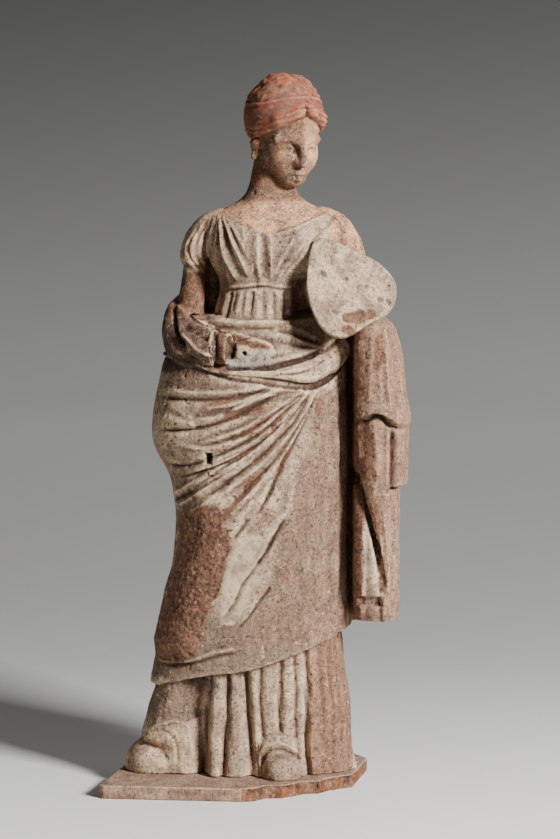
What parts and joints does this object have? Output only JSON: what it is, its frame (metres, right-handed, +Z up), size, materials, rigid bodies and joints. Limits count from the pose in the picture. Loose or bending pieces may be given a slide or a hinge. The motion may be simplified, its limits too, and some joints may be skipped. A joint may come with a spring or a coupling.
{
  "type": "statuette",
  "caption": "Fired clay statuette of a standing draped woman holding a leaf fan, on a thin plinth with a broken corner.",
  "frame": {"origin": "middle of the bounding box at the underside of the plinth", "axes": "+Z up from the plinth to the head, the woman faces -Y, her left side with the fan is toward +X"},
  "size_m": [0.1228, 0.0728, 0.2847],
  "materials": {
    "figure_clay": "matt fired clay with worn white, pink and brown paint",
    "fan_clay": "matt fired clay under a cream slip",
    "plinth_clay": "matt fired clay, orange where it is broken"
  },
  "bodies": {
    "root": {"woman": "figure_clay", "fan": "fan_clay", "plinth": "plinth_clay"}
  },
  "joints": []
}
